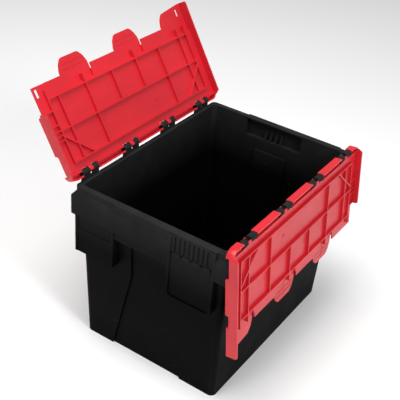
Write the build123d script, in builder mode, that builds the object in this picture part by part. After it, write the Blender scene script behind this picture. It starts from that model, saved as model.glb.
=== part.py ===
"""Attached lid tote: a nesting tub with two interlocking lid leaves on pinned hinges.

Frame: +Z up, +X along the hinge lines, origin at the centre of the base's underside.
The rear lid leans back and the front lid hangs against the tub's side.
"""

import os
from math import cos, radians, sin

from build123d import *

os.makedirs("parts", exist_ok=True)

# ---------------------------------------------------------------- driving dimensions (mm)
LENGTH = 400.0  # over the lids' end skirts, along X
WIDTH = 300.0  # over the hinge ears, along Y
HEIGHT = 310.0  # lids closed

# hinges
EAR_R = 6.0
EAR_FACE = 144.0  # outer face of the ears' roots, in |Y|
EAR_ROOT = 138.5  # inner face of the ears' roots, in |Y|
SADDLE_FACE = 141.0  # outer face of the saddle between two ears, in |Y|
SADDLE_TOP = (300.3, 298.1)  # heights at its inner and outer faces
PIN_R = 4.5
PIN_FIT = 0.02  # radial clearance of the pin in the ears
HOOK_FIT = 0.06  # radial clearance of the lid's hook on the pin
HINGE_Y = WIDTH / 2 - EAR_R
HINGE_Z = HEIGHT - EAR_R
HINGE_PITCH = 102.0
HINGE_COUNT = 4
EAR_A = (-19.0, -3.0)  # wide ear, from the hinge's middle along its own lid
EAR_B = (6.0, 17.0)  # narrow ear
HOOK_R = 6.0
HOOK_LIP = -2.2  # where the hook's two arms end, in v
HOOK_SIDE_GAP = 0.5
NOTCH_GAP = 0.6

# poses of the two lids, as opening angles from closed
REAR_OPEN = 121.0
FRONT_OPEN = 264.0

# tub body
BASE_X, BASE_Y = 173.5, 129.5
WALL_X, WALL_Y = 184.6, 134.0  # from the top of the taper to the rim
WALL_R = 10.0
TAPER_Z = 240.0
WALL = 2.5
FLOOR = 3.0
FOOT = 2.0  # depth of the hollow under the floor
FOOT_RIM = 12.0
FLOOR_RIB_T = 3.0
FLOOR_RIB_PITCH = (48.0, 44.0)

# rim
RIM_Z = 295.0
SHOULDER_TOP = 286.0
SHOULDER_Z = 277.0
RIM_X, RIM_Y, RIM_R = 191.8, 139.5, 8.0
BAND_X, BAND_Y, BAND_R = 196.5, 145.8, 5.0
BAND_Z = 246.0
BAND_T = 2.5
RIM_T = 2.6
WEB_T = 2.0  # webs between the long bands and the walls
WEB_Y = 131.0  # where they end, inside the walls

# end aprons: y range and lowest z of each
GRIP = (-40.0, 60.0, 233.0)
CARD = (-121.0, -40.0, 177.0)
POCKET = (60.0, 135.0, 179.0)
APRON_X = 194.6
APRON_ROOT = 12.0  # how far the aprons' blocks reach in past the wall's face
CARD_CORNER_R = 8.0
GRIP_CORNER_R = 9.0
APRON_T = 3.3
APRON_WEB = 2.5
BLOCK_END = 62.5  # the aprons reach up to the rim's top from the card panel to here
BEAD = 4.6  # width of the raised edge round the card panel
FLUTE_PITCH = 8.0
FLUTE_W = 4.2
FLUTE_DEPTH = 1.7
FLUTE_COUNT = 8
FLUTE_Z = (262.0, 290.5)
TOOTH_Z = (253.5, 258.0, 261.5)  # foot, front edge and back edge of each tooth's slope
TOOTH_OUT = 1.7
TOOTH_PITCH = 18.0
TOOTH_W = 13.0
TOOTH_COUNT = 4
POCKET_FRAME = 4.5
POCKET_STEP_Z = 224.0
POCKET_TOP = 272.0

# grip recess on the inside of each end, with gussets on its shelf
SHELF_Z = 258.0
RECESS_X = 191.0
RECESS_Y = (-52.0, 60.0)
GUSSET_PITCH = 10.5
GUSSET_COUNT = 4
GUSSET_T = 2.0
GUSSET_TOP = 284.0

# sunk panel on each end wall, widening downwards, which lets totes nest
PANEL_DEPTH = 3.0
PANEL_CUT = 16.0  # thickness of the block that cuts it
PANEL_Y = 4.5  # its middle
PANEL_LEVELS = ((-2.0, 69.0), (165.0, 30.0), (236.0, 30.0))  # height, half width

# lid leaf, in its own frame: v from the hinge to the free edge, u along the hinge, w up
U_END = LENGTH / 2
V_OUT = -5.0
NOTCH_V = 6.7
V_CHANNEL = 6.0
V_PLAIN = 148.0
V_TIP = 172.0
V_END_TIP = 177.0
CHANNEL_TOP = HEIGHT - HINGE_Z
CHANNEL_BOTTOM = -6.0
CORNER_R = 14.0
PLATE_TOP = 0.5
SKIN = 2.5
SKIRT_T = 2.8
SKIRT_BOTTOM = -14.0
SKIRT_START = 0.0
SKIRT_CHAMFER = 7.0
SKIRT_RIDGE = (39.0, 41.0, 102.5, 104.0)  # the raised part of its top: foot, top, top, foot
PLAIN_SKIRT_END = 107.0
TAB_TOP = 4.5
TAB_START = 125.0
TAB_PITCH = 130.0
TAB_CENTRES = (-97.5, 32.5)
TAB_HALF = 32.0
TAB_GAP = 0.5  # how far the plate is cut away beside a tab, for the other leaf's plate
WALL_END = 139.0  # the raised zone's side walls stop here, clear of the other leaf
RIB_T = 2.0
RIB_BOTTOM = -6.5
RIB_PITCH = 62.4
RIB_COUNT = 6
RIB_END = 138.0
BRACE_END = 65.0
BRACE_U = 130.0
END_BAR_T = 1.6
TONGUE_LINE_T = 1.2
SEAL_SLOTS = (((157.0, 169.0), (181.0, 187.0)), ((131.0, 144.0), (-193.0, -187.0)))
CROSS_RIBS = (21.0, 73.0, 123.5)
FRAME_U = 178.0
END_BARS = (59.0, 66.5, 74.0, 83.0, 105.0)


def rounded_box(half_x, half_y, radius, bottom, top):
    """Adds a block with rounded corners between two heights, to the part being built."""
    with BuildSketch(Plane.XY.offset(bottom)) as plan:
        RectangleRounded(2 * half_x, 2 * half_y, radius)
    extrude(plan.sketch, amount=top - bottom)


def slab(x_range, y_range, z_range, mode=Mode.ADD):
    """Adds or cuts a box given by its ranges, in the part being built."""
    centre = [(low + high) / 2 for low, high in (x_range, y_range, z_range)]
    with Locations(tuple(centre)):
        Box(
            x_range[1] - x_range[0],
            y_range[1] - y_range[0],
            z_range[1] - z_range[0],
            mode=mode,
        )


# ---------------------------------------------------------------- tub
def wall_x(z):
    """Half length over the end walls at a height."""
    return BASE_X + (WALL_X - BASE_X) * z / TAPER_Z


def wall_y(z):
    """Half width over the long walls at a height."""
    return BASE_Y + (WALL_Y - BASE_Y) * z / TAPER_Z


def wall_block(low, high, inset):
    """Adds the block inside the walls' outer faces, stepped in by an inset: tapered, then straight."""
    with BuildSketch(Plane.XY.offset(low)) as low_plan:
        RectangleRounded(2 * (wall_x(low) - inset), 2 * (wall_y(low) - inset), WALL_R - inset)
    with BuildSketch(Plane.XY.offset(TAPER_Z)) as high_plan:
        RectangleRounded(2 * (WALL_X - inset), 2 * (WALL_Y - inset), WALL_R - inset)
    loft([low_plan.sketch, high_plan.sketch])
    rounded_box(WALL_X - inset, WALL_Y - inset, WALL_R - inset, TAPER_Z, high)


def rim_solid(inset, low, high):
    """Adds the rim's two-step profile between two heights, stepped in by an inset."""
    rounded_box(BAND_X - inset, BAND_Y - inset, BAND_R - inset, low, SHOULDER_Z)
    with BuildSketch(Plane.XY.offset(SHOULDER_Z)) as low_plan:
        RectangleRounded(2 * (BAND_X - inset), 2 * (BAND_Y - inset), BAND_R - inset)
    with BuildSketch(Plane.XY.offset(SHOULDER_TOP)) as high_plan:
        RectangleRounded(2 * (RIM_X - inset), 2 * (RIM_Y - inset), RIM_R - inset)
    loft([low_plan.sketch, high_plan.sketch])
    rounded_box(RIM_X - inset, RIM_Y - inset, RIM_R - inset, SHOULDER_TOP, high)


def end_panel(end, offset, thickness, margin, mode):
    """Adds or cuts slabs that follow an end wall, shaped as the sunk panel plus a margin."""
    for (low, low_half), (high, high_half) in zip(PANEL_LEVELS, PANEL_LEVELS[1:]):
        top = high + margin if high == PANEL_LEVELS[-1][0] else high
        with BuildSketch(Plane.XY.offset(low)) as low_plan:
            with Locations((end * (wall_x(low) + offset), PANEL_Y)):
                Rectangle(thickness, 2 * (low_half + margin))
        with BuildSketch(Plane.XY.offset(top)) as high_plan:
            with Locations((end * (wall_x(top) + offset), PANEL_Y)):
                Rectangle(thickness, 2 * (high_half + margin))
        loft([low_plan.sketch, high_plan.sketch], mode=mode)


with BuildPart() as rim_hollow:
    # the space between the rim's band and the wall, open downwards
    rim_solid(BAND_T, BAND_Z - 1, RIM_Z - RIM_T)

with BuildPart() as walls:
    # the four walls, still solid, with the sunk panels on the ends
    wall_block(0.0, RIM_Z, 0.0)
    for end in (-1, 1):
        end_panel(end, PANEL_CUT / 2 - PANEL_DEPTH, PANEL_CUT, 0.0, Mode.SUBTRACT)

with BuildPart() as interior:
    # everything inside the walls
    wall_block(FOOT + FLOOR, RIM_Z + 1, WALL)
    for end in (-1, 1):
        end_panel(end, -WALL, 2 * PANEL_DEPTH, WALL, Mode.SUBTRACT)

with BuildPart() as recess:
    # the recess behind one end's grip, around its gussets
    slab((WALL_X - WALL - 2, RECESS_X), RECESS_Y, (SHELF_Z + RIM_T, RIM_Z - RIM_T))
    recess_middle = (RECESS_Y[0] + RECESS_Y[1]) / 2
    for index in range(GUSSET_COUNT):
        y = recess_middle + (index - (GUSSET_COUNT - 1) / 2) * GUSSET_PITCH
        with BuildSketch(Plane.XZ.offset(-y - GUSSET_T / 2)):
            Polygon(
                (RECESS_X + 1, SHELF_Z),
                (WALL_X - WALL, SHELF_Z),
                (WALL_X - WALL, SHELF_Z + RIM_T + 1),
                (RECESS_X - 0.8, GUSSET_TOP),
                (RECESS_X + 1, GUSSET_TOP),
                align=None,
            )
        extrude(amount=GUSSET_T, mode=Mode.SUBTRACT)

with BuildPart() as end_apron:
    # the aprons of the +X end: card panel, grip and pocket, each open downwards
    with BuildSketch(Plane.YZ.offset(WALL_X - APRON_ROOT)):
        Polygon(
            (CARD[0], RIM_Z),
            (CARD[0], CARD[2]),
            (CARD[1], CARD[2]),
            (CARD[1], GRIP[2]),
            (BLOCK_END, GRIP[2]),
            (BLOCK_END, RIM_Z),
            align=None,
        )
    extrude(amount=APRON_X - WALL_X + APRON_ROOT)
    slab((WALL_X - APRON_ROOT, BAND_X), (POCKET[0], POCKET[1]), (POCKET[2], SHOULDER_Z))
    card_corners = end_apron.edges().filter_by(Axis.X).group_by(Axis.Z)[0]
    fillet(card_corners, CARD_CORNER_R)
    grip_corner = end_apron.edges().filter_by(Axis.X).filter_by_position(Axis.Z, GRIP[2] - 1, GRIP[2] + 1)
    fillet(grip_corner.group_by(Axis.Y)[0], GRIP_CORNER_R)
    # the card panel stands out; its field is cut back later
    with BuildSketch(Plane.YZ.offset(APRON_X - 1)):
        with Locations(((CARD[0] + CARD[1]) / 2, (CARD[2] + FLUTE_Z[1]) / 2)):
            Rectangle(CARD[1] - CARD[0], FLUTE_Z[1] - CARD[2])
    extrude(amount=BAND_X - APRON_X + 1)
    raised_corners = end_apron.edges().filter_by(Axis.X).group_by(Axis.Z)[0]
    fillet(raised_corners, CARD_CORNER_R - 0.1)
    # the pocket's face stands back in two steps inside a frame
    frame_y = (POCKET[0] + POCKET_FRAME, POCKET[1] - POCKET_FRAME)
    slab((BAND_X - 1.5, BAND_X + 1), frame_y, (POCKET_STEP_Z, POCKET_TOP), mode=Mode.SUBTRACT)
    slab((BAND_X - 0.8, BAND_X + 1), frame_y, (POCKET[2] - 1, POCKET_STEP_Z), mode=Mode.SUBTRACT)
    # hollows behind the aprons
    back = (WALL_X - APRON_ROOT - 1, APRON_X - APRON_T)
    for y_low, y_high, bottom in (CARD, GRIP, POCKET):
        hollow_y = (y_low + APRON_WEB, y_high - APRON_WEB)
        slab(back, hollow_y, (bottom - GRIP_CORNER_R - 1, SHELF_Z), mode=Mode.SUBTRACT)
    card_y = (CARD[0] + APRON_WEB, RECESS_Y[0] - APRON_WEB)
    slab(back, card_y, (SHELF_Z - 1, RIM_Z - RIM_T), mode=Mode.SUBTRACT)
    pocket_y = (BLOCK_END + APRON_WEB, POCKET[1] - APRON_WEB)
    slab(back, pocket_y, (SHELF_Z - 1, SHOULDER_Z - RIM_T), mode=Mode.SUBTRACT)

with BuildPart() as card_field:
    # what is cut from the card panel: its field, and flutes that end in a row of sloping teeth
    card_middle = (CARD[0] + CARD[1]) / 2
    field_width = CARD[1] - CARD[0] - 2 * BEAD
    with BuildSketch(Plane.YZ.offset(APRON_X)):
        with Locations((card_middle, (CARD[2] + BEAD + FLUTE_Z[1]) / 2)):
            RectangleRounded(field_width, FLUTE_Z[1] - CARD[2] - BEAD, 5.0)
    extrude(amount=BAND_X - APRON_X + 1)
    for index in range(FLUTE_COUNT):
        y = card_middle + (index - (FLUTE_COUNT - 1) / 2) * FLUTE_PITCH
        slab((APRON_X - FLUTE_DEPTH, APRON_X + 1), (y - FLUTE_W / 2, y + FLUTE_W / 2), FLUTE_Z)
    teeth_y = (card_middle - field_width / 2 + 1, card_middle + field_width / 2 - 1)
    slab((APRON_X - FLUTE_DEPTH, APRON_X + 1), teeth_y, (TOOTH_Z[1], FLUTE_Z[0] + 1))
    for index in range(TOOTH_COUNT):
        y = card_middle + (index - (TOOTH_COUNT - 1) / 2) * TOOTH_PITCH
        with BuildSketch(Plane.XZ.offset(-y - TOOTH_W / 2)):
            Polygon(
                (APRON_X - FLUTE_DEPTH - 1, TOOTH_Z[0]),
                (APRON_X, TOOTH_Z[0]),
                (APRON_X + TOOTH_OUT, TOOTH_Z[1]),
                (APRON_X - FLUTE_DEPTH, TOOTH_Z[2]),
                (APRON_X - FLUTE_DEPTH - 1, TOOTH_Z[2]),
                align=None,
            )
        extrude(amount=TOOTH_W, mode=Mode.SUBTRACT)

with BuildPart() as tub:
    # band and rim
    rim_solid(0.0, BAND_Z, RIM_Z)
    add(rim_hollow.part, mode=Mode.SUBTRACT)
    add(end_apron.part)
    add(end_apron.part.mirror(Plane.YZ))
    # stiffening webs between the long bands and the wall, under the hinges
    for side in (-1, 1):
        for index in range(HINGE_COUNT):
            x = (index - (HINGE_COUNT - 1) / 2) * HINGE_PITCH
            for offset in (side * EAR_A[0], side * EAR_B[1]):
                web_x = (x + offset - WEB_T / 2, x + offset + WEB_T / 2)
                web_y = sorted((side * WEB_Y, side * (RIM_Y - 1)))
                slab(web_x, web_y, (BAND_Z + 4, SHOULDER_TOP))
    add(walls.part)
    add(interior.part, mode=Mode.SUBTRACT)
    add(recess.part, mode=Mode.SUBTRACT)
    add(recess.part.mirror(Plane.YZ), mode=Mode.SUBTRACT)
    add(card_field.part, mode=Mode.SUBTRACT)
    add(card_field.part.mirror(Plane.YZ), mode=Mode.SUBTRACT)
    # hinge ears, and the saddle between the two ears of each hinge
    for side in (-1, 1):
        for index in range(HINGE_COUNT):
            x = (index - (HINGE_COUNT - 1) / 2) * HINGE_PITCH
            for start, stop in (EAR_A, EAR_B):
                low, high = sorted((x + side * start, x + side * stop))
                with BuildSketch(Plane.YZ.offset(low)):
                    with Locations((side * HINGE_Y, HINGE_Z)):
                        Circle(EAR_R)
                    with Locations((side * (EAR_FACE + EAR_ROOT) / 2, (HINGE_Z + SHOULDER_Z + 2) / 2)):
                        Rectangle(EAR_FACE - EAR_ROOT, HINGE_Z - SHOULDER_Z - 2)
                extrude(amount=high - low)
            low, high = sorted((x + side * EAR_A[0], x + side * EAR_B[1]))
            with BuildSketch(Plane.YZ.offset(low)):
                Polygon(
                    (side * EAR_ROOT, SHOULDER_TOP - 3),
                    (side * SADDLE_FACE, SHOULDER_TOP - 3),
                    (side * SADDLE_FACE, SADDLE_TOP[1]),
                    (side * EAR_ROOT, SADDLE_TOP[0]),
                    align=None,
                )
            extrude(amount=high - low)
            with Locations(Location((x, side * HINGE_Y, HINGE_Z), (0, 90, 0))):
                Cylinder(PIN_R + PIN_FIT, 60.0, mode=Mode.SUBTRACT)
    # hollow under the floor, crossed by ribs that end flush with the foot
    with BuildSketch(Plane.XY.offset(-1)):
        RectangleRounded(2 * (BASE_X - FOOT_RIM), 2 * (BASE_Y - FOOT_RIM), 4.0)
        with GridLocations(0, FLOOR_RIB_PITCH[1], 1, 5):
            Rectangle(2 * BASE_X, FLOOR_RIB_T, mode=Mode.SUBTRACT)
        with GridLocations(FLOOR_RIB_PITCH[0], 0, 7, 1):
            Rectangle(FLOOR_RIB_T, 2 * BASE_Y, mode=Mode.SUBTRACT)
    extrude(amount=1 + FOOT, mode=Mode.SUBTRACT)

tub.part.label = "tub"
export_step(tub.part, "parts/tub.step")


# ---------------------------------------------------------------- lid leaf (x is v, y is u, z is w)
# half of a tab's outline: v, and how far the edge stands in from the tab's half width
TAB_EDGE = (
    (TAB_START, -3.0),
    (140.0, 0.0),
    (152.0, 0.5),
    (163.0, 5.0),
    (170.0, 11.0),
    (V_TIP, 15.0),
)


def leaf_outline(v_end, inset=0.0):
    """The corners of the leaf's plan, from its hinge edge to v_end."""
    half = U_END - inset
    return ((V_OUT + inset, -half), (v_end, -half), (v_end, half), (V_OUT + inset, half))


def tab_outline(centre):
    """The corners of one interlocking tab, with its raised root."""
    right = [(v, centre + TAB_HALF - inset) for v, inset in TAB_EDGE]
    left = [(v, centre - TAB_HALF + inset) for v, inset in reversed(TAB_EDGE)]
    return right + left


def end_tab_outline():
    """The corners of the tab that runs on to the leaf's end."""
    inner = TAB_CENTRES[1] + TAB_PITCH - TAB_HALF
    edge = [(v, inner + inset) for v, inset in TAB_EDGE]
    return edge + [(V_END_TIP, U_END - 6.0), (V_END_TIP, U_END), (TAB_START, U_END)]


with BuildPart() as leaf_blank:
    # the leaf's plan as a tall block, used to trim what is on it
    with BuildSketch(Plane.XY.offset(-20.0)) as blank_plan:
        Polygon(*leaf_outline(V_END_TIP + 1), align=None)
        fillet(blank_plan.vertices().group_by(Axis.X)[0], CORNER_R)
    extrude(amount=40.0)

with BuildPart() as leaf_core:
    # the same plan inside the outer walls
    with BuildSketch(Plane.XY.offset(-20.0)) as core_plan:
        Polygon(*leaf_outline(V_END_TIP + 1, SKIN), align=None)
        fillet(core_plan.vertices().group_by(Axis.X)[0], CORNER_R - SKIN)
    extrude(amount=40.0)


def end_skirt(end, v_end):
    """Adds the skirt of one end, from a profile in (v, w), to the part being built."""
    with BuildSketch(Plane.XZ.offset(-end * U_END)) as profile:
        Polygon(
            (V_OUT, CHANNEL_BOTTOM),
            (SKIRT_START, CHANNEL_BOTTOM),
            (SKIRT_START + SKIRT_CHAMFER, SKIRT_BOTTOM),
            (v_end - 2.0, SKIRT_BOTTOM),
            (v_end, SKIRT_BOTTOM + 3.0),
            (v_end, PLATE_TOP),
            (SKIRT_RIDGE[3], PLATE_TOP),
            (SKIRT_RIDGE[2], CHANNEL_TOP),
            (SKIRT_RIDGE[1], CHANNEL_TOP),
            (SKIRT_RIDGE[0], PLATE_TOP),
            (V_OUT, PLATE_TOP),
            align=None,
        )
    extrude(profile.sketch, amount=end * SKIRT_T)


with BuildPart() as skirts:
    end_skirt(-1, PLAIN_SKIRT_END)
    end_skirt(1, V_END_TIP)
    add(leaf_blank.part, mode=Mode.INTERSECT)

with BuildPart() as channel:
    # the raised edge along the hinge: an upside-down channel
    slab((V_OUT, V_CHANNEL), (-U_END, U_END), (CHANNEL_BOTTOM, CHANNEL_TOP))
    add(leaf_blank.part, mode=Mode.INTERSECT)

with BuildPart() as channel_hollow:
    slab((V_OUT, V_CHANNEL - SKIN), (-U_END, U_END), (CHANNEL_BOTTOM - 1, CHANNEL_TOP - SKIN))
    add(leaf_core.part, mode=Mode.INTERSECT)

with BuildPart() as tab_hollow:
    # the space under the raised tabs
    for centre in TAB_CENTRES:
        slab(
            (TAB_START + SKIN, WALL_END),
            (centre - TAB_HALF + SKIN, centre + TAB_HALF - SKIN),
            (-20.0, TAB_TOP - SKIN),
        )
        tab_u = (centre - TAB_HALF - TAB_GAP, centre + TAB_HALF + TAB_GAP)
        slab((WALL_END, V_TIP + 1), tab_u, (-20.0, TAB_TOP - SKIN))
    inner = TAB_CENTRES[1] + TAB_PITCH - TAB_HALF
    slab((TAB_START + SKIN, WALL_END), (inner + SKIN, U_END - SKIRT_T), (-20.0, TAB_TOP - SKIN))
    slab((WALL_END, V_END_TIP + 1), (inner - TAB_GAP, U_END - SKIRT_T), (-20.0, TAB_TOP - SKIN))

with BuildPart() as leaf:
    # plate
    with BuildSketch(Plane.XY.offset(PLATE_TOP - SKIN)):
        Polygon(*leaf_outline(V_PLAIN), align=None)
    extrude(amount=SKIN)
    add(leaf_blank.part, mode=Mode.INTERSECT)
    # the plain corner stands back, inside the other leaf's skirt
    slab(
        (PLAIN_SKIRT_END, V_PLAIN + 1),
        (-U_END - 1, -U_END + SKIRT_T + 0.7),
        (-10.0, 10.0),
        mode=Mode.SUBTRACT,
    )
    # raised tabs
    with BuildSketch(Plane.XY.offset(PLATE_TOP - SKIN)):
        for centre in TAB_CENTRES:
            Polygon(*tab_outline(centre), align=None)
        Polygon(*end_tab_outline(), align=None)
    extrude(amount=TAB_TOP - PLATE_TOP + SKIN)
    add(tab_hollow.part, mode=Mode.SUBTRACT)
    add(channel.part)
    add(skirts.part)
    add(channel_hollow.part, mode=Mode.SUBTRACT)
    # ribs under the plate: along v, then along u, then the corner braces
    rib_w = (RIB_BOTTOM, PLATE_TOP - SKIN + 0.2)
    tab_rib = ((TAB_START + 1, RIB_END), (RIB_BOTTOM, TAB_TOP - 1))
    for index in range(RIB_COUNT):
        u = (index - (RIB_COUNT - 1) / 2) * RIB_PITCH
        rib_u = (u - RIB_T / 2, u + RIB_T / 2)
        start = CROSS_RIBS[1] if index in (2, 3) else CROSS_RIBS[0]
        stop = RIB_END if index in (1, 3, 5) else CROSS_RIBS[2]
        slab((start, stop), rib_u, rib_w)
        if index in (1, 3, 5):
            slab(tab_rib[0], rib_u, tab_rib[1])
    for u in (-FRAME_U, FRAME_U):
        slab((CROSS_RIBS[0], RIB_END), (u - RIB_T / 2, u + RIB_T / 2), rib_w)
    slab(tab_rib[0], (FRAME_U - RIB_T / 2, FRAME_U + RIB_T / 2), tab_rib[1])
    for v in CROSS_RIBS:
        slab((v - RIB_T / 2, v + RIB_T / 2), (-FRAME_U, FRAME_U), rib_w)
    for end in (-1, 1):
        with BuildSketch(Plane.XY.offset(RIB_BOTTOM)):
            Polygon(
                (CROSS_RIBS[0] - 0.7, end * (BRACE_U + 1)),
                (CROSS_RIBS[0] + 0.7, end * (BRACE_U - 1)),
                (BRACE_END + 1, end * (FRAME_U - 0.9)),
                (BRACE_END - 1, end * (FRAME_U + 0.9)),
                align=None,
            )
        extrude(amount=rib_w[1] - rib_w[0])
    # short bars between the plain end's skirt and the frame rib beside it
    for v in END_BARS:
        bar_v = (v - END_BAR_T / 2, v + END_BAR_T / 2)
        slab(bar_v, (-U_END + SKIRT_T - 0.5, -FRAME_U), rib_w)
    # faint stiffening lines under the tongues, and the moulding gate mark
    line_w = (TAB_TOP - SKIN - 0.5, TAB_TOP - 1)
    for centre in TAB_CENTRES:
        for v in (154.0, 162.0):
            line_v = (v - TONGUE_LINE_T / 2, v + TONGUE_LINE_T / 2)
            slab(line_v, (centre - 24.0, centre + 24.0), line_w)
        slab((141.0, 168.0), (centre - TONGUE_LINE_T / 2, centre + TONGUE_LINE_T / 2), line_w)
    with Locations((47.0, 48.0, PLATE_TOP - SKIN - 0.3)):
        Cylinder(3.5, 1.0)
    # slots for a seal: one in the end tab, one in the plain corner
    for slot_v, slot_u in SEAL_SLOTS:
        slab(slot_v, slot_u, (-4.0, 10.0), mode=Mode.SUBTRACT)
    # notches round the ears, and a hook on each pin
    for index in range(HINGE_COUNT):
        u = (index - (HINGE_COUNT - 1) / 2) * HINGE_PITCH
        slab(
            (V_OUT - 2, NOTCH_V),
            (u + EAR_A[0] - NOTCH_GAP, u + EAR_B[1] + NOTCH_GAP),
            (-10.0, 10.0),
            mode=Mode.SUBTRACT,
        )
        hook_u = (u + EAR_A[1] + HOOK_SIDE_GAP, u + EAR_B[0] - HOOK_SIDE_GAP)
        with BuildSketch(Plane.XZ.offset(-hook_u[0])):
            Circle(HOOK_R)
            with Locations((6.0, 0.0)):
                Rectangle(6.0, 5.0)
            Circle(PIN_R + HOOK_FIT, mode=Mode.SUBTRACT)
            with Locations((HOOK_LIP - 5.0, 0.0)):
                Rectangle(10.0, 4 * HOOK_R, mode=Mode.SUBTRACT)
        extrude(amount=-(hook_u[1] - hook_u[0]))


def hinge_plane(side, opening):
    """The leaf's own plane on one side of the tub, opened by an angle in degrees."""
    turn = radians(opening)
    return Plane(
        origin=(0, side * HINGE_Y, HINGE_Z),
        x_dir=(0, -side * cos(turn), sin(turn)),
        z_dir=(0, side * sin(turn), cos(turn)),
    )


for name, side, opening in (("rear", 1, REAR_OPEN), ("front", -1, FRONT_OPEN)):
    with BuildPart() as lid:
        with Locations(hinge_plane(side, opening)):
            add(leaf.part)
    lid.part.label = f"{name}_lid"
    export_step(lid.part, f"parts/{name}_lid.step")

    # ------------------------------------------------------------ hinge pins
    for index in range(HINGE_COUNT):
        x = (index - (HINGE_COUNT - 1) / 2) * HINGE_PITCH
        low, high = sorted((x + side * EAR_A[0], x + side * EAR_B[1]))
        with BuildPart() as pin:
            with BuildSketch(Plane.YZ.offset(low)):
                with Locations((side * HINGE_Y, HINGE_Z)):
                    Circle(PIN_R)
            extrude(amount=high - low)
            chamfer(pin.edges(), 0.5)
        pin.part.label = f"{name}_hinge_pin_{index + 1}"
        export_step(pin.part, f"parts/{name}_hinge_pin_{index + 1}.step")
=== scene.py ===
"""Attached lid tote: studio scene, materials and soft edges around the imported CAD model."""

from math import cos, radians, sin

import bpy
from mathutils import Matrix, Vector


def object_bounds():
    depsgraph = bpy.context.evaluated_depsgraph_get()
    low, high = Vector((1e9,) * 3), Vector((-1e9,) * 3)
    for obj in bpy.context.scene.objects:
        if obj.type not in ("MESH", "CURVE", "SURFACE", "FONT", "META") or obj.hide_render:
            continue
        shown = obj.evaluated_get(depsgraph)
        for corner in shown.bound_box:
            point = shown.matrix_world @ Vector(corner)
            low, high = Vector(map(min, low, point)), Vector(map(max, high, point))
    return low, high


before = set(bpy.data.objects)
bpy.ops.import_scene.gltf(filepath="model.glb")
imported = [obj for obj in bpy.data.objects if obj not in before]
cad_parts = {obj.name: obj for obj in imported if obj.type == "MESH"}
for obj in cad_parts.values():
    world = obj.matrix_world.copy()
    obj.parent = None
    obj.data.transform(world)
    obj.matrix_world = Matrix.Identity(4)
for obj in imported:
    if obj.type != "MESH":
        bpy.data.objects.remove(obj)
cad_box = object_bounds()

# ---------------------------------------------------------------- camera (angles, mm of lens, metres)
VIEW_AZIMUTH = radians(-58.6)
VIEW_ELEVATION = radians(33.2)
VIEW_ROLL = radians(5.2)
LENS = 74.5
SENSOR = 36.0
CAMERA_PLACE = Vector((-0.9912, -0.5726, 0.9785))

# ---------------------------------------------------------------- materials
RED = (0.64, 0.016, 0.028)
RED_RUBBED = (0.8, 0.15, 0.18)
BLACK = (0.0020, 0.0020, 0.0021)
# grey of scratches and wear, also used as painted light: the tub's upper wall drawn lighter towards
# the rim as if lit from above
BLACK_WORN_AND_LIT = (0.045, 0.045, 0.046)
FLOOR = (0.93, 0.93, 0.93)
RED_SPECULAR = 0.4
BLACK_SPECULAR = 0.022
PIN_SPECULAR = 0.12

RIM_WEAR_AND_LIGHT_HEIGHTS = (0.2, 0.3)  # the tub greys between these heights towards the rim, partly from wear and partly as painted light from above, in metres
RIM_WEAR_AND_LIGHT = 0.5
FLOW_TINT = 0.86  # how dark the flow marks are against the body colour
GRAIN_SCALE = 900.0
CLOUD_SCALE = 22.0
WAVE_SCALE = 11.0
WAVE_HEIGHT = 0.0012
FLOW_STRETCH = (5.0, 5.0, 9.0)
SCRATCH_STRETCHES = ((14.0, 260.0, 260.0), (260.0, 14.0, 60.0))
SCRATCH_RANGE = (0.66, 0.74)  # only the noise's peaks show as scratches
ROUGHNESS_SPREAD = 0.12
WORN_ROUGHNESS = 0.2


def new_material(name):
    """A material with node access, its node tree and its principled shader."""
    material = bpy.data.materials.new(name)
    material.use_nodes = True
    tree = material.node_tree
    return material, tree, tree.nodes["Principled BSDF"]


def noise(tree, place, scale, detail=4.0, roughness=0.5):
    """A noise texture on the given coordinates."""
    node = tree.nodes.new("ShaderNodeTexNoise")
    node.inputs["Scale"].default_value = scale
    node.inputs["Detail"].default_value = detail
    node.inputs["Roughness"].default_value = roughness
    tree.links.new(place, node.inputs["Vector"])
    return node.outputs["Fac"]


def spread(tree, value, low, high, out_low, out_high):
    """Maps a value from one range to another, clamped."""
    node = tree.nodes.new("ShaderNodeMapRange")
    node.inputs["From Min"].default_value = low
    node.inputs["From Max"].default_value = high
    node.inputs["To Min"].default_value = out_low
    node.inputs["To Max"].default_value = out_high
    tree.links.new(value, node.inputs["Value"])
    return node.outputs["Result"]


def stretched(tree, place, scale):
    """The coordinates scaled by a vector, for streaks and scuffs."""
    node = tree.nodes.new("ShaderNodeMapping")
    node.inputs["Scale"].default_value = scale
    tree.links.new(place, node.inputs["Vector"])
    return node.outputs["Vector"]


def combine(tree, operation, first, second):
    """One math node on two values."""
    node = tree.nodes.new("ShaderNodeMath")
    node.operation = operation
    node.use_clamp = True
    for socket, value in zip(node.inputs, (first, second)):
        if isinstance(value, float):
            socket.default_value = value
        else:
            tree.links.new(value, socket)
    return node.outputs[0]


def mixed(tree, factor, first, second):
    """A mix of two colours, each a colour or a socket."""
    node = tree.nodes.new("ShaderNodeMix")
    node.data_type = "RGBA"
    tree.links.new(factor, node.inputs["Factor"])
    for socket, value in ((node.inputs["A"], first), (node.inputs["B"], second)):
        if isinstance(value, tuple):
            socket.default_value = (*value, 1.0)
        else:
            tree.links.new(value, socket)
    return node.outputs["Result"]


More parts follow.
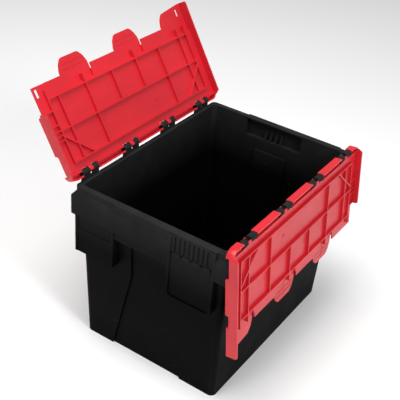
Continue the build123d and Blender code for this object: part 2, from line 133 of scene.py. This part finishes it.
def moulded_plastic(name, body, worn_and_lit, specular, gloss, grain_height, scuff, rim_wear_and_light=0.0):
    """Injection-moulded plastic: fine grain, flow marks, light scratches, and a rim that greys partly
    from wear and partly as painted light from above.
    """
    material, tree, shader = new_material(name)
    place = tree.nodes.new("ShaderNodeTexCoord").outputs["Object"]
    grain = noise(tree, place, GRAIN_SCALE, 2.0)
    flow = noise(tree, stretched(tree, place, FLOW_STRETCH), 1.6, 3.0, 0.6)
    cloud = noise(tree, place, CLOUD_SCALE, 6.0, 0.62)
    lengthways, crossways = (
        spread(
            tree,
            noise(tree, stretched(tree, place, stretch), 1.0, 3.0, 0.7),
            *SCRATCH_RANGE,
            0.0,
            1.0,
        )
        for stretch in SCRATCH_STRETCHES
    )
    scratches = combine(tree, "MAXIMUM", lengthways, crossways)
    wear_and_lit_marks = combine(tree, "MULTIPLY", scratches, scuff)
    # the tub drawn greyer towards the rim: partly wear from handling, partly painted light from above
    if rim_wear_and_light:
        split = tree.nodes.new("ShaderNodeSeparateXYZ")
        tree.links.new(place, split.inputs["Vector"])
        height = spread(tree, split.outputs["Z"], *RIM_WEAR_AND_LIGHT_HEIGHTS, 0.0, rim_wear_and_light)
        rim_wear_and_light_mask = combine(tree, "MULTIPLY", height, spread(tree, cloud, 0.2, 0.6, 0.5, 1.0))
        wear_and_lit_marks = combine(tree, "MAXIMUM", wear_and_lit_marks, rim_wear_and_light_mask)
    dark_body = tuple(FLOW_TINT * c for c in body)
    tone = mixed(tree, spread(tree, flow, 0.3, 0.7, 0.0, 1.0), body, dark_body)
    # body tone mixed towards the worn grey: scratches, and on the tub also the rim's painted light
    tree.links.new(mixed(tree, wear_and_lit_marks, tone, worn_and_lit), shader.inputs["Base Color"])
    clean_rough = spread(tree, cloud, 0.3, 0.7, gloss, gloss + ROUGHNESS_SPREAD)
    worn_rough = combine(tree, "MULTIPLY", wear_and_lit_marks, WORN_ROUGHNESS)
    tree.links.new(combine(tree, "ADD", clean_rough, worn_rough), shader.inputs["Roughness"])
    fine = tree.nodes.new("ShaderNodeBump")
    fine.inputs["Strength"].default_value = 0.35
    fine.inputs["Distance"].default_value = grain_height
    tree.links.new(grain, fine.inputs["Height"])
    wave = tree.nodes.new("ShaderNodeBump")
    wave.inputs["Strength"].default_value = 0.25
    wave.inputs["Distance"].default_value = WAVE_HEIGHT
    tree.links.new(noise(tree, place, WAVE_SCALE, 2.0), wave.inputs["Height"])
    tree.links.new(fine.outputs["Normal"], wave.inputs["Normal"])
    tree.links.new(wave.outputs["Normal"], shader.inputs["Normal"])
    shader.inputs["Specular IOR Level"].default_value = specular
    return material


red_plastic = moulded_plastic(
    "red_plastic",
    body=RED,
    worn_and_lit=RED_RUBBED,
    specular=RED_SPECULAR,
    gloss=0.3,
    grain_height=0.00006,
    scuff=0.2,
)
black_plastic = moulded_plastic(
    "black_plastic",
    body=BLACK,
    worn_and_lit=BLACK_WORN_AND_LIT,
    specular=BLACK_SPECULAR,
    gloss=0.42,
    grain_height=0.0001,
    scuff=0.3,
    # rim grey: partly wear, partly painted light from above
    rim_wear_and_light=RIM_WEAR_AND_LIGHT,
)
pin_plastic = moulded_plastic(
    "pin_plastic",
    body=BLACK,
    worn_and_lit=BLACK_WORN_AND_LIT,
    specular=PIN_SPECULAR,
    gloss=0.36,
    grain_height=0.00004,
    scuff=0.2,
)


# ---------------------------------------------------------------- CAD nodes (metres)
TUB_EDGE_WIDTH = 0.0009
LID_EDGE_WIDTH = 0.0006
PIN_EDGE_WIDTH = 0.0004
WELD_DISTANCE = 0.00001
EDGE_ANGLE = radians(35)


def dress(node_name, material, edge_width):
    """Gives a CAD node its material and softened moulded edges."""
    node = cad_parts[node_name]
    node.data.materials.clear()
    node.data.materials.append(material)
    weld = node.modifiers.new("weld", "WELD")
    weld.merge_threshold = WELD_DISTANCE
    bevel = node.modifiers.new("edges", "BEVEL")
    bevel.width = edge_width
    bevel.segments = 2
    bevel.limit_method = "ANGLE"
    bevel.angle_limit = EDGE_ANGLE
    bevel.use_clamp_overlap = True
    bevel.harden_normals = True


for node_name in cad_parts:
    if node_name == "tub":
        dress(node_name, black_plastic, TUB_EDGE_WIDTH)
    elif node_name.endswith("_lid"):
        dress(node_name, red_plastic, LID_EDGE_WIDTH)
    else:
        dress(node_name, pin_plastic, PIN_EDGE_WIDTH)


# ---------------------------------------------------------------- floor
FLOOR_SIZE = 30.0
FLOOR_TINT = 0.985  # how dark its patches are


def floor_material():
    """Plain pale floor with a faint unevenness."""
    material, tree, shader = new_material("floor")
    place = tree.nodes.new("ShaderNodeTexCoord").outputs["Object"]
    patches = spread(tree, noise(tree, place, 1.5, 2.0), 0.3, 0.7, 0.0, 1.0)
    tone = mixed(tree, patches, FLOOR, tuple(FLOOR_TINT * c for c in FLOOR))
    tree.links.new(tone, shader.inputs["Base Color"])
    shader.inputs["Roughness"].default_value = 0.75
    return material


bpy.ops.mesh.primitive_plane_add(size=FLOOR_SIZE, location=(0.0, 0.0, cad_box[0][2]))
floor = bpy.context.object
floor.name = "floor"
floor.data.materials.append(floor_material())


# ---------------------------------------------------------------- light
WORLD_STRENGTH = 0.36
LIGHTS = (  # name, place, target, size in metres, power in watts
    ("overhead", (-0.4, 0.3, 2.4), (0.0, 0.0, 0.2), 1.4, 46.0),
    ("front", (-0.7, -2.2, 2.0), (0.0, 0.0, 0.2), 0.7, 40.0),
    ("side", (-2.4, 0.6, 1.9), (0.0, 0.0, 0.25), 1.2, 8.0),
)


def soft_light(name, place, target, size, power):
    """A square area light aimed at a point."""
    data = bpy.data.lights.new(name, "AREA")
    data.size = size
    data.energy = power
    light = bpy.data.objects.new(name, data)
    bpy.context.scene.collection.objects.link(light)
    light.location = place
    light.rotation_euler = (Vector(target) - Vector(place)).to_track_quat("-Z", "Y").to_euler()


for light_row in LIGHTS:
    soft_light(*light_row)

world = bpy.data.worlds.new("studio")
world.use_nodes = True
background = world.node_tree.nodes["Background"]
background.inputs["Color"].default_value = (1.0, 1.0, 1.0, 1.0)
background.inputs["Strength"].default_value = WORLD_STRENGTH
bpy.context.scene.world = world
bpy.context.scene.view_settings.view_transform = "Standard"

# ---------------------------------------------------------------- camera object
back = Vector(
    (
        sin(VIEW_AZIMUTH) * cos(VIEW_ELEVATION),
        -cos(VIEW_AZIMUTH) * cos(VIEW_ELEVATION),
        sin(VIEW_ELEVATION),
    )
)
level_right = (-back).cross(Vector((0.0, 0.0, 1.0))).normalized()
level_up = level_right.cross(-back)
right = level_right * cos(VIEW_ROLL) + level_up * sin(VIEW_ROLL)
up = level_up * cos(VIEW_ROLL) - level_right * sin(VIEW_ROLL)
camera_data = bpy.data.cameras.new("camera")
camera_data.lens = LENS
camera_data.sensor_width = SENSOR
camera = bpy.data.objects.new("camera", camera_data)
bpy.context.scene.collection.objects.link(camera)
turn = Matrix((right, up, back)).transposed().to_4x4()
camera.matrix_world = Matrix.Translation(CAMERA_PLACE) @ turn
bpy.context.scene.camera = camera
